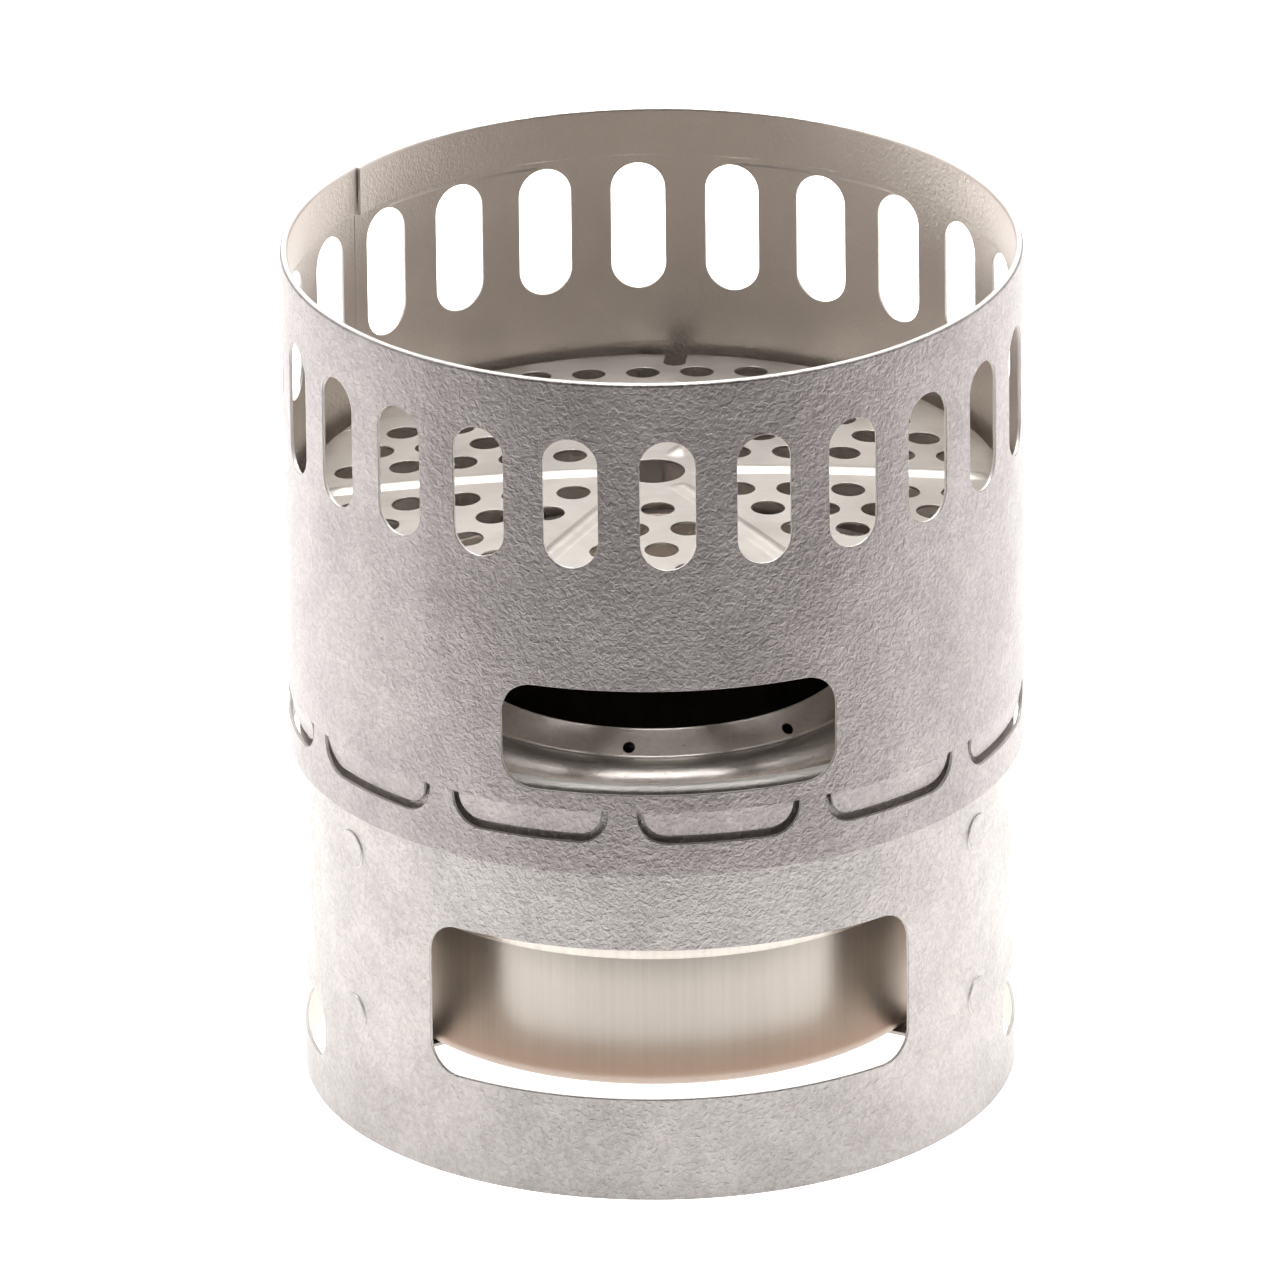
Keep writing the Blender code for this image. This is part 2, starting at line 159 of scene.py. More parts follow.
GROOVE_RISE = (27.15 * MM, 50.73 * MM)
SHOULDER_SWELL = (28.6 * MM, 51.32 * MM)
SHOULDER_CREST = (30.6 * MM, 51.5 * MM)
SHOULDER_DROP = 46.0 * MM
JOINT_STEP = 0.05 * MM
JET_COUNT = 8
JET_START = -9.6
JET_RADIUS = 0.75 * MM
JET_DRILL = 3 * MM

# The masks of the round walls: about one over their radius, and the cosines between which each one fades.
WALL_LEVEL = 23.0
INSIDE_FADE = (-0.25, 0.25)
EDGE_FADE = (0.45, 0.85)

FLOOR_RADIUS = 9
FLOOR_DROP = 0.00005
GLOW = 1.05
GLOW_MIDDLE = 0.08
GLOW_WIDTH = 0.34
GLOW_FADE = (0.145, 0.27)

# The soft boxes: place, width and height, and power.
LEFT_BOX = ((-0.85, 0.15, 0.17), (1.1, 0.34), 1.0)
RIGHT_BOX = ((0.85, 0.15, 0.17), (1.1, 0.34), 1.0)
BACK_BOX = ((0.0, 1.5, 0.9), (2.0, 1.2), 4)
OVERHEAD_BOX = ((0.0, 0.40, 0.95), (1.3, 0.7), 6.5)
BOX_AIM = (0, 0, 0.05)
OVERHEAD_AIM = (0.0, 0.40, 0.0)
OVERHEAD_SPREAD = 60
ROOM_FADE = (-0.9, 0.15)  # along Y: the room's light is FRONT_LIGHT below it and REAR_LIGHT above
FRONT_LIGHT = 0.03
REAR_LIGHT = 0.62
ROOM_COLOUR = (1.0, 0.99, 0.985, 1)

CAMERA_AZIMUTH = -2.03
CAMERA_ELEVATION = 23.508
CAMERA_DISTANCE = 2.3236
CAMERA_ROLL = -0.6659
CAMERA_LENS = 540.4
SENSOR = 36.0
# In radii of the upper shell: how far under its top the camera's target lies, and the aim's shift from it.
TARGET_DEPTH = 1.4
AIM_UP = 0.2168
AIM_LEFT = 0.0459


class Value:
    """A socket that Python expressions can work with: each operator adds its Math node."""

    def __init__(self, finish, socket):
        self.finish = finish
        self.socket = socket

    def maths(self, operation, *others, swap=False):
        terms = [self, *others]
        if swap:
            terms.reverse()
        return self.finish.node("ShaderNodeMath", {"operation": operation}, *terms)

    def __add__(self, other):
        return self.maths("ADD", other)

    def __sub__(self, other):
        return self.maths("SUBTRACT", other)

    def __mul__(self, other):
        return self.maths("MULTIPLY", other)

    def __rsub__(self, other):
        return self.maths("SUBTRACT", other, swap=True)

    __radd__ = __add__
    __rmul__ = __mul__

    def power(self, exponent):
        return self.maths("POWER", exponent)

    def between(self, low, high):
        """0 below low, 1 above high, and smooth from one to the other."""
        settings = {"interpolation_type": "SMOOTHSTEP"}
        return self.finish.node("ShaderNodeMapRange", settings, self, low, high, 0.0, 1.0)


class Finish:
    """A metal finish under construction: one Principled shader and the nodes that feed it."""

    def __init__(self, name):
        self.material = bpy.data.materials.new(name)
        self.material.use_nodes = True
        self.tree = self.material.node_tree
        self.shader = self.tree.nodes["Principled BSDF"]
        self.place = self.node("ShaderNodeTexCoord", {}, out="Object")

    def node(self, kind, settings, *inputs, out=0, **named):
        """Adds a node: its settings first, then its sockets by place or by name. Gives the wanted output."""
        made = self.tree.nodes.new(kind)
        for key, value in settings.items():
            setattr(made, key, value)
        for socket, value in zip(made.inputs, inputs):
            self.feed(socket, value)
        for key, value in named.items():
            self.feed(made.inputs[key.replace("_", " ")], value)
        return Value(self, made.outputs[out])

    def feed(self, socket, value):
        if isinstance(value, Value):
            self.tree.links.new(value.socket, socket)
        elif value is not None:
            socket.default_value = value

    def noise(self, place, scale, detail=2.0, roughness=0.5, distortion=0.0):
        return self.node(
            "ShaderNodeTexNoise",
            {},
            Vector=place,
            Scale=scale,
            Detail=detail,
            Roughness=roughness,
            Distortion=distortion,
        )

    def stretched(self, scale):
        return self.node("ShaderNodeMapping", {}, Vector=self.place, Scale=scale)

    def mix(self, amount, first, second):
        """Blends two colours."""
        node = self.tree.nodes.new("ShaderNodeMix")
        node.data_type = "RGBA"
        self.feed(node.inputs[0], amount)
        for socket, colour in ((node.inputs[6], first), (node.inputs[7], second)):
            self.feed(socket, colour if isinstance(colour, Value) else (*colour, 1))
        return Value(self, node.outputs[2])

    def bump(self, height, strength, distance, under=None):
        return self.node(
            "ShaderNodeBump", {}, Strength=strength, Distance=distance, Height=height, Normal=under
        )

    def end(self, colour, roughness, normal=None, metallic=1.0, **fixed):
        self.feed(self.shader.inputs["Base Color"], colour)
        self.feed(self.shader.inputs["Roughness"], roughness)
        self.feed(self.shader.inputs["Metallic"], metallic)
        self.feed(self.shader.inputs["Normal"], normal)
        for key, value in fixed.items():
            self.feed(self.shader.inputs[key.replace("_", " ")], value)
        return self.material


def heights(finish):
    """The height above the ground, as a value."""
    return finish.node("ShaderNodeSeparateXYZ", {}, finish.place, out="Z")


def wall_faces(finish):
    """Two masks for a round wall: its inner face, and the edges and folds that face neither in nor out."""
    scale = (WALL_LEVEL, WALL_LEVEL, 0.0)
    level = finish.node("ShaderNodeVectorMath", {"operation": "MULTIPLY"}, finish.place, scale)
    normal = finish.node("ShaderNodeTexCoord", {}, out="Normal")
    away = finish.node("ShaderNodeVectorMath", {"operation": "DOT_PRODUCT"}, level, normal, out="Value")
    return 1 - away.between(*INSIDE_FADE), 1 - away.maths("ABSOLUTE").between(*EDGE_FADE)


def blasted_titanium_with_painted_light(name, light, dark, grain):
    """Bead-blasted sheet: a dense crinkled grain over a fine sparkle, with cloudy tone.

    Its inner face is smoother, warmer and lighter: bare metal with painted light over it. Its cut edges and
    folds are bright: bare cut metal with a painted highlight.
    """
    finish = Finish(name)
    inside, edge = wall_faces(finish)
    crinkle = finish.noise(finish.place, 1750.0, 2.0, 0.55, 0.7)
    coarse = finish.noise(finish.place, 820.0, 2.0, 0.5, 0.4)
    sparkle = finish.noise(finish.place, 5200.0, 2.0, 0.6)
    clouds = finish.noise(finish.place, 42.0, 4.0, 0.6)
    blotches = finish.noise(finish.place, 160.0, 3.0, 0.55)
    relief = crinkle * 0.7 + coarse * 0.3
    tone = clouds.between(0.32, 0.70) * 0.30 + blotches.between(0.35, 0.68) * 0.15
    tone = tone + relief.between(0.34, 0.66) * 0.35 + sparkle.between(0.3, 0.7) * 0.2
    colour = finish.mix(tone, dark, light)
    # The inner face's colour: bare metal, painted lighter to stand for the light that falls inside the
    # shells.
    bare_with_painted_light = finish.mix(clouds * 0.5 + sparkle * 0.5, (0.68, 0.61, 0.555), (0.90, 0.82, 0.755))
    skin = finish.mix(inside, colour, bare_with_painted_light)
    # Painted highlight along the cut edges and folds: a near-white colour here, and less metal at the end,
    # on top of their bare cut metal.
    skin = finish.mix(edge, skin, (0.93, 0.90, 0.86))
    roughness = 0.35 + sparkle * 0.12 + clouds * 0.05 - inside * 0.03
    fine = finish.bump(sparkle, 0.35 * grain, 0.00005)
    surface = finish.bump(relief * (1 - inside * 0.5) * (1 - edge * 0.8), 1.0 * grain, 0.00022, fine)
    return finish.end(skin, roughness, surface, 1 - edge * 0.6)


def pressed_titanium(name, light, dark):
    """The grate's smooth rolled sheet: faint rolling lines, water marks and small pits."""
    finish = Finish(name)
    rolled = finish.noise(finish.stretched((90.0, 1400.0, 400.0)), 1.0, 3.0, 0.6)
    marks = finish.noise(finish.place, 75.0, 5.0, 0.62, 0.6)
    pits = finish.noise(finish.place, 1900.0, 2.0, 0.55)
    tone = rolled * 0.35 + marks.between(0.3, 0.72) * 0.65
    colour = finish.mix(tone, dark, light)
    soot = finish.mix(marks.between(0.58, 0.75) * 0.3, colour, (0.42, 0.38, 0.34))
    surface = finish.bump(pits, 0.22, 0.00006, finish.bump(rolled, 0.10, 0.00005))
    return finish.end(soot, 0.42 + marks * 0.14, surface)


def drawn_titanium(name, light, dark, tinge, tinge_top):
    """The burner's deep-drawn wall: upright drawing streaks, and a warmer brown tone towards its bottom
    corner.
    """
    finish = Finish(name)
    streaks = finish.noise(finish.stretched((1500.0, 1500.0, 26.0)), 1.0, 4.0, 0.65)
    broad = finish.noise(finish.stretched((260.0, 260.0, 12.0)), 1.0, 3.0, 0.6)
    pits = finish.noise(finish.place, 2300.0, 2.0, 0.5)
    cloud = finish.noise(finish.place, 90.0, 3.0, 0.5)
    height = heights(finish) + (cloud - 0.5) * 0.004
    lower_band = 1 - height.between(tinge_top - 0.005, tinge_top)
    colour = finish.mix(streaks * 0.6 + broad * 0.4, dark, light)
    warm = finish.mix(lower_band * 0.55, colour, tinge)
    roughness = 0.24 + streaks * 0.14 + broad * 0.06
    surface = finish.bump(pits, 0.16, 0.00005, finish.bump(streaks, 0.16, 0.00006))
    return finish.end(warm, roughness, surface)


def spun_titanium(name, light, dark):
    """The burner's top: satin skin over the pressing, darker where flames have tinted it."""
    finish = Finish(name)
    grain = finish.noise(finish.place, 1500.0, 3.0, 0.6, 0.5)
    streaks = finish.noise(finish.stretched((1300.0, 1300.0, 30.0)), 1.0, 3.0, 0.6)
    cloud = finish.noise(finish.place, 65.0, 4.0, 0.6)
    top = (heights(finish) + (cloud - 0.5) * 0.004).between(0.043, 0.049)
    skin = finish.mix(cloud * 0.5 + grain * 0.5, dark, light)
    wall = finish.mix(streaks, (0.50, 0.45, 0.40), (0.70, 0.64, 0.58))
    roughness = 0.21 + grain * 0.14 + streaks * 0.05
    surface = finish.bump(grain, 0.34, 0.00007, finish.bump(streaks, 0.12, 0.00005))
    return finish.end(finish.mix(top, wall, skin), roughness, surface)


def dull_titanium(name, light, dark):
    """Plain strip and inner walls: matt, mottled, with fine scratches."""
    finish = Finish(name)
    mottle = finish.noise(finish.place, 220.0, 4.0, 0.6)
    scratches = finish.noise(finish.stretched((900.0, 120.0, 120.0)), 1.0, 2.0, 0.6)
    colour = finish.mix(mottle * 0.7 + scratches * 0.3, dark, light)
    surface = finish.bump(mottle, 0.2, 0.00005)
    return finish.end(colour, 0.38 + mottle * 0.15, surface)


def arc(centre, radius, start, end, steps):
    """Points on an arc, angles in degrees, both ends included."""
    turns = [math.radians(start + (end - start) * i / steps) for i in range(steps + 1)]
    return [(centre[0] + radius * math.cos(t), centre[1] + radius * math.sin(t)) for t in turns]


def rounded_rectangle(x0, x1, y0, y1, corner, steps=10):
    corners = ((x1, y1, 0), (x0, y1, 90), (x0, y0, 180), (x1, y0, 270))
    points = []
    for x, y, start in corners:
        centre = (x - corner if x == x1 else x + corner, y - corner if y == y1 else y + corner)
        points += arc(centre, corner, start, start + 90, steps)
    return points


def polar(radius, degrees):
    """The point at a radius and an angle from the front."""
    angle = math.radians(degrees)
    return radius * math.sin(angle), -radius * math.cos(angle)


def circle(x, y, radius, sides):
    return arc((x, y), radius, 0, 360 - 360 / sides, sides - 1)


def inset(outline, depth, hole):
    """The outline moved into the sheet: inwards for the sheet's own edge, outwards for a hole's."""
    before = outline[-1:] + outline[:-1]
    after = outline[1:] + outline[:1]
    area = sum(a[0] * b[1] - b[0] * a[1] for a, b in zip(outline, after))
    side = math.copysign(1, area) * (-1 if hole else 1)
    moved = []
    for a, b, c in zip(before, outline, after):
        first = Vector((a[1] - b[1], b[0] - a[0])).normalized() * side
        second = Vector((b[1] - c[1], c[0] - b[0])).normalized() * side
        mitre = (first + second) / (1 + first.dot(second))
        moved.append((b[0] + mitre.x * depth, b[1] + mitre.y * depth))
    return moved


def filled(outlines):
    """A flat mesh of what lies between the first outline and the others."""
    curve = bpy.data.curves.new("outline", "CURVE")
    curve.dimensions = "2D"
    curve.fill_mode = "BOTH"
    for outline in outlines:
        spline = curve.splines.new("POLY")
        spline.points.add(len(outline) - 1)
        for point, (x, y) in zip(spline.points, outline):
            point.co = (x, y, 0, 1)
        spline.use_cyclic_u = True
    drawing = bpy.data.objects.new("outline", curve)
    bpy.context.scene.collection.objects.link(drawing)
    bpy.context.view_layer.update()
    graph = bpy.context.evaluated_depsgraph_get()
    drawn = bpy.data.meshes.new_from_object(drawing.evaluated_get(graph))
    bpy.data.objects.remove(drawing)
    bpy.data.curves.remove(curve)
    return drawn


def plate(outlines, thickness, round_edges=EDGE_ROUND):
    """A flat plate with rounded edges: the first outline is its own edge, and the others its holes."""
    outlines = [[(x / DRAWING_UNIT, y / DRAWING_UNIT) for x, y in outline] for outline in outlines]
    half = thickness / 2 / DRAWING_UNIT
    edge = round_edges / DRAWING_UNIT
    rounding = [(edge, half), (edge * 0.3, half - edge * 0.3), (0, half - edge)]
    levels = rounding + [(depth, -height) for depth, height in reversed(rounding)]
    bm = bmesh.new()
    for number, outline in enumerate(outlines):
        rings = []
        for depth, height in levels:
            ring = inset(outline, depth, number > 0) if depth else outline
            rings.append([bm.verts.new((x, y, height)) for x, y in ring])
        for upper, lower in zip(rings, rings[1:]):
            for i in range(len(outline)):
                bm.faces.new((upper[i - 1], upper[i], lower[i], lower[i - 1]))
    cap = filled([inset(outline, edge, number > 0) for number, outline in enumerate(outlines)])
    for height in (half, -half):
        known = len(bm.verts)
        bm.from_mesh(cap)
        bm.verts.ensure_lookup_table()
        for vertex in bm.verts[known:]:
            vertex.co.z = height
    bpy.data.meshes.remove(cap)
    bmesh.ops.remove_doubles(bm, verts=bm.verts, dist=MERGE / DRAWING_UNIT)
    bmesh.ops.recalc_face_normals(bm, faces=bm.faces)
    bmesh.ops.scale(bm, vec=(DRAWING_UNIT,) * 3, verts=bm.verts)
    return bm


def score(bm, normal, offsets):
    """Adds edges across a plate where it will bend: on the plane of this normal, at each offset."""
    normal = Vector(normal)
    for offset in offsets:
        geometry = bm.verts[:] + bm.edges[:] + bm.faces[:]
        bmesh.ops.bisect_plane(bm, geom=geometry, dist=MERGE, plane_co=normal * offset, plane_no=normal)


def flat_normals(bm, thickness):
    """Each point's normal while the plate is flat: straight out on its two faces, across on its edges."""
    bm.normal_update()
    normals = []
    for vertex in bm.verts:
        face = abs(abs(vertex.co.z) - thickness / 2) < SAME_FACE
        normals.append(Vector((0, 0, math.copysign(1, vertex.co.z))) if face else vertex.normal.copy())
    return normals


def dressed(name, bm, normals, material, body, slot, *nodes):
    """The finished object of a bmesh, riding on its body, with the node that it stands for."""
    mesh = bpy.data.meshes.new(name)
    bm.to_mesh(mesh)
    bm.free()
    mesh.shade_smooth()
    if normals:
        mesh.normals_split_custom_set_from_vertices(normals)
    else:
        mesh.set_sharp_from_angle(angle=math.radians(40))
    mesh.materials.append(material)
    made = bpy.data.objects.new(name, mesh)
    bpy.context.scene.collection.objects.link(made)
    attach(made, body)
    if nodes:
        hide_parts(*nodes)
    return made


def fold(run, offset, start, radius, turn, middle):
    """(radius, height, lean) of a rolled sheet's point: up the wall, round a bend at start, straight on."""
    over = run - start
    if over <= 0:
        return middle + offset, run, 0
    angle = min(over / radius, turn)
    rest = over - radius * angle
    return (
        middle - radius + (radius + offset) * math.cos(angle) - rest * math.sin(angle),
        start + (radius + offset) * math.sin(angle) + rest * math.cos(angle),
        angle,
    )


def roll(bm, seam, middle, bend, scores, press):
    """Rolls a blank into a ring, and gives the normals of its points."""
    step = 2 * math.pi * middle / ROLL_STEPS
    first = math.radians(seam) * middle
    score(bm, (0, 1, 0), scores)
    score(bm, (1, 0, 0), [first + step * i for i in range(1, ROLL_STEPS)])
    normals = flat_normals(bm, SHEET)
    for vertex, normal in zip(bm.verts, normals):
        along, run, offset = vertex.co
        radius, height, lean = bend(run, offset)
        inward, tilt, yaw = press(along, run)
        angle = along / middle
        lean -= tilt
        radius -= inward
        vertex.co = (radius * math.sin(angle), -radius * math.cos(angle), height)
        facing = angle + yaw
        out = Vector((math.sin(facing), -math.cos(facing), 0))
        up = Vector((0, 0, 1))
        around = Vector((math.cos(facing), math.sin(facing), 0))
        outward = out * math.cos(lean) + up * math.sin(lean)
        onward = up * math.cos(lean) - out * math.sin(lean)
        turned = around * normal.x + onward * normal.y + outward * normal.z
        normal.xyz = turned.normalized()
    return normals


def near(angle, seam):
    """The same direction, written so that it lies on the blank that starts at the seam."""
    return seam + (angle - seam) % 360


def blank_edge(seam, middle, bottom, top):
    """The outline of a ring's blank, from just past the seam all the way round."""
    left = math.radians(seam) * middle + SEAM_GAP / 2
    right = left + 2 * math.pi * middle - SEAM_GAP
    return [(left, bottom), (right, bottom), (right, top), (left, top)]


def window(opening, seam, middle):
    """The outline of a window, drawn on the blank."""
    centre = math.radians(near(opening["centre"], seam)) * middle
    half = math.radians(opening["half"]) * middle
    return rounded_rectangle(centre - half, centre + half, *opening["heights"], opening["corner"])


def tab_slit(centre):
    """The U-shaped cut that frees a tab, open at its hinge."""
    low = TAB_TIP + TAB_CORNER
    inner = TAB_HALF_WIDTH - TAB_CORNER
    outer_bend = TAB_CORNER + TAB_SLIT
    points = [(centre - inner - outer_bend, TAB_HINGE)]
    points += arc((centre - inner, low), outer_bend, 180, 270, 9)
    points += arc((centre + inner, low), outer_bend, 270, 360, 9)
    points += [(centre + inner + outer_bend, TAB_HINGE), (centre + inner + TAB_CORNER, TAB_HINGE)]
    points += arc((centre + inner, low), TAB_CORNER, 360, 270, 9)
    points += arc((centre - inner, low), TAB_CORNER, 270, 180, 9)
    return points + [(centre - inner - TAB_CORNER, TAB_HINGE)]


def tab_press(along, run, centres):
    """How far a point is pressed inward, and its tilt: the tabs lean in from their hinges."""
    if not TAB_TIP - 0.1 * MM < run < TAB_HINGE - 0.01 * MM:
        return 0, 0
    across = min(abs(along - centre) for centre in centres)
    past_side = max(across - (TAB_HALF_WIDTH - TAB_CORNER), 0)
    past_tip = max(TAB_TIP + TAB_CORNER - run, 0)
    if math.hypot(past_side, past_tip) > TAB_CORNER + TAB_SLIT / 2:
        return 0, 0
    reach = TAB_HINGE - TAB_TIP
    return TAB_BEND * (TAB_HINGE - run) / reach, math.atan(TAB_BEND / reach)


def upper_shell():
    middle = UPPER_RADIUS - SHEET / 2
    radius = (SHEET + HEM_GAP) / 2
    start = UPPER_TOP - radius - SHEET / 2
    top = start + math.pi * radius + (start - HEM_END)
    outlines = [blank_edge(UPPER_SEAM, middle, UPPER_BASE, top), window(UPPER_WINDOW, UPPER_SEAM, middle)]
    for i in range(SLOT_COUNT):
        centre = math.radians(near(360 / SLOT_COUNT * i, UPPER_SEAM)) * middle
        half = SLOT_WIDTH / 2
        outlines.append(rounded_rectangle(centre - half, centre + half, *SLOT_HEIGHTS, half * 0.999))
    turns = [near(TAB_START + 360 / TAB_COUNT * i, UPPER_SEAM) for i in range(TAB_COUNT)]
    tabs = [math.radians(turn) * middle for turn in turns]
    outlines += [tab_slit(centre) for centre in tabs]

    def press(along, run):
        inward, tilt = tab_press(along, run, tabs)
        ease = math.radians(SEAM_EASE)
        before_seam = (math.radians(UPPER_SEAM + 360) - along / middle) / ease
        if before_seam > 1 or run < LAP_FROM:
            return inward, tilt, 0
        lap = SEAM_LAP * (1 - before_seam) ** 2
        return inward + lap, tilt, 2 * SEAM_LAP * (1 - before_seam) / (ease * middle)

    bm = plate(outlines, SHEET)
    scores = [TAB_HINGE, TAB_HINGE - TAB_CREASE, LAP_FROM]
    scores += [start + math.pi * radius * i / HEM_FLATS for i in range(HEM_FLATS + 1)]
    normals = roll(
        bm, UPPER_SEAM, middle, lambda run, offset: fold(run, offset, start, radius, math.pi, middle),
        scores, press,
    )
    finish = blasted_titanium_with_painted_light("upper_shell_finish_with_painted_light", (0.46, 0.42, 0.41), (0.23, 0.208, 0.204), 1.0)
    dressed("slotted_windscreen", bm, normals, finish, "windscreen", "upper_titanium", "upper_shell")


def lower_shell():
    middle = LOWER_RADIUS - SHEET / 2
    start = LOWER_TOP - LIP_BEND - SHEET / 2
    quarter = math.pi / 2
    top = start + quarter * LIP_BEND + (middle - LIP_BEND - LIP_INNER_RADIUS)
    outlines = [blank_edge(LOWER_SEAM, middle, 0, top)]
    outlines += [window(opening, LOWER_SEAM, middle) for opening in LOWER_WINDOWS]
    bm = plate(outlines, SHEET)
    normals = roll(
        bm, LOWER_SEAM, middle, lambda run, offset: fold(run, offset, start, LIP_BEND, quarter, middle),
        [start + quarter * LIP_BEND * i / LIP_FLATS for i in range(LIP_FLATS + 1)],
        lambda along, run: (0, 0, 0),
    )
    finish = blasted_titanium_with_painted_light("lower_shell_finish_with_painted_light", (0.54, 0.505, 0.485), (0.30, 0.28, 0.27), 0.9)
    dressed("base_shell", bm, normals, finish, "stand", "lower_titanium", "lower_shell")
    for angle in WELD_ANGLES:
        for height in WELD_HEIGHTS:
            weld_mark(angle, height, finish)


def weld_mark(degrees, height, finish):
    """The round, slightly crowned mark that a spot weld leaves on the shell's outside."""
    bm = bmesh.new()
    centre = bm.verts.new((0, 0, WELD_PROFILE[0][1] * WELD_RISE))
    rings = []
    for share, rise in WELD_PROFILE[1:]:
        ring = circle(0, 0, share * WELD_RADIUS, WELD_SIDES)
        rings.append([bm.verts.new((x, y, rise * WELD_RISE)) for x, y in ring])
    for i in range(WELD_SIDES):
        j = (i + 1) % WELD_SIDES
        bm.faces.new((centre, rings[0][i], rings[0][j]))
        for inner, outer in zip(rings, rings[1:]):
            bm.faces.new((inner[i], outer[i], outer[j], inner[j]))
    for vertex in bm.verts:
        across, up, rise = vertex.co
        radius = LOWER_RADIUS + rise
        x, y = polar(radius, degrees + math.degrees(across / LOWER_RADIUS))
        vertex.co = (x, y, height + up)
    side = f"{'right' if degrees > 0 else 'left'}_{'front' if abs(degrees) < 90 else 'rear'}"
    level = "low" if height == WELD_HEIGHTS[0] else "high"
    dressed(f"weld_mark_{side}_{level}", bm, None, finish, "stand", "lower_titanium")


def grate_edge():
    """The disc's outline, with a relief notch beside each leg."""
    points = []
    half = math.degrees(NOTCH_WIDTH / 2 / GRATE_RADIUS)
    step = 2.0
    for i in range(LEG_COUNT):
        notch = NOTCH_START + 360 / LEG_COUNT * i
        x, y = polar(GRATE_RADIUS - NOTCH_DEPTH + NOTCH_WIDTH / 2, notch)
        points.append(polar(GRATE_RADIUS, notch - half))
        inward = polar(1, notch)
        side = polar(1, notch + 90)
        for t in (math.pi * j / 10 for j in range(11)):
            across = -math.cos(t) * NOTCH_WIDTH / 2
            depth = math.sin(t) * NOTCH_WIDTH / 2
            points.append((
                x + side[0] * across - inward[0] * depth,
                y + side[1] * across - inward[1] * depth,
            ))
        points.append(polar(GRATE_RADIUS, notch + half))
        last = 360 / LEG_COUNT - 2 * half
        points += [polar(GRATE_RADIUS, notch + half + step * j) for j in range(1, int(last / step) + 1)]
    return points


def grate_rise(x, y):
    """The disc's height at a point: its dome, its rounded pressed ribs, and a fine rolled-down rim."""
    reach = math.hypot(x, y)
    ends = min(max(min(reach - RIB_SPAN[0], RIB_SPAN[1] - reach) / RIB_FADE, 0), 1)
    ends = ends * ends * (3 - 2 * ends)
    rib = 0
    for i in range(6):
        along = polar(1, RIB_START + 60 * i)
        if along[0] * x + along[1] * y > 0:
            off = min(abs(along[0] * y - along[1] * x) / RIB_HALF_WIDTH, 1)
            rib = max(rib, (0.5 + 0.5 * math.cos(math.pi * off)) ** 0.8 * ends)
    edge = max(reach - GRATE_RADIUS + GRATE_RIM, 0) / GRATE_RIM
    dome = GRATE_CROWN * (1 - (reach / GRATE_RADIUS) ** 2)
    return dome + RIB_HEIGHT * rib - GRATE_RIM_DROP * edge * edge


def fire_grate():
    outlines = [grate_edge(), circle(0, 0, GRATE_EYE_RADIUS, 48)]
    row_pitch = HOLE_PITCH * math.sqrt(3) / 2
    for sector in range(6):
        out = polar(1, 60 * sector)
        for row in range(1, HOLE_ROWS + 1):
            for place in range(row):
                along = row_pitch * (row + 1)
                across = HOLE_PITCH * (place - (row - 1) / 2)
                x = out[0] * along - out[1] * across
                y = out[1] * along + out[0] * across
                outlines.append(circle(x, y, HOLE_RADIUS, 24))
    bm = plate(outlines, SHEET, FINE_ROUND)
    rib_lines = [RIB_HALF_WIDTH * fifth / 5 for fifth in range(-5, 6)]
    for i in range(3):
        score(bm, (*polar(1, RIB_START + 60 * i + 90), 0), rib_lines)
    for direction in ((1, 0, 0), (0, 1, 0)):
        score(bm, direction, [GRATE_GRID * i for i in range(-17, 18)])
    normals = flat_normals(bm, SHEET)
    step = 0.02 * MM
    for vertex, normal in zip(bm.verts, normals):
        x, y, _ = vertex.co
        rise = grate_rise(x, y)
        slope_x = (grate_rise(x + step, y) - rise) / step
        slope_y = (grate_rise(x, y + step) - rise) / step
        vertex.co.z += GRATE_HEIGHT + rise
        if abs(normal.z) > 0.5:
            normal.xyz = (Vector((-slope_x, -slope_y, 1)) * math.copysign(1, normal.z)).normalized()
    finish = pressed_titanium("grate_finish", (0.64, 0.60, 0.555), (0.47, 0.435, 0.395))
    dressed("perforated_grate", bm, normals, finish, "grate", "grate_titanium", "fire_grate")
    for i in range(LEG_COUNT):
        grate_leg(i, LEG_START + 360 / LEG_COUNT * i, finish)


def grate_leg(index, degrees, finish):
    """A strip bent down at the disc's edge, with a rounded foot that stands on the lower shell's lip."""
    foot = LOWER_TOP + LEG_FOOT_GAP
    height = GRATE_HEIGHT - LEG_HEAD_DROP - foot
    half = LEG_WIDTH / 2
    bend = height - LEG_BEND_DROP
    end = height + LEG_BLANK_RISE
    outline = [(half, bend), (half, LEG_CORNER)]
    outline += arc((half - LEG_CORNER, LEG_CORNER), LEG_CORNER, 0, -90, 4)
    outline += arc((-half + LEG_CORNER, LEG_CORNER), LEG_CORNER, -90, -180, 4)
    outline += [(-half, bend), (-half, end), (half, end)]
    bm = plate([outline], SHEET)
    score(bm, (0, 1, 0), [bend + LEG_FLAT * i for i in range(LEG_FLATS)])
    normals = flat_normals(bm, SHEET)
    last = math.radians(LEG_TURN)
    turn = Matrix.Rotation(math.radians(degrees), 4, "Z")
    forward = Vector((0, -1, 0))
    upward = Vector((0, 0, 1))
    for vertex, normal in zip(bm.verts, normals):
        across, run, offset = vertex.co
        distance, up, lean = fold(run, offset, bend, LEG_BEND, last, GRATE_RADIUS - SHEET)
        vertex.co = turn @ Vector((across, -distance, foot + up))
        out = forward * math.cos(lean) + upward * math.sin(lean)
        onward = upward * math.cos(lean) - forward * math.sin(lean)
        turned = turn @ (Vector((1, 0, 0)) * normal.x + onward * normal.y + out * normal.z)
        normal.xyz = turned.normalized()
    dressed(f"grate_leg_{index + 1}", bm, normals, finish, "grate", "grate_titanium")


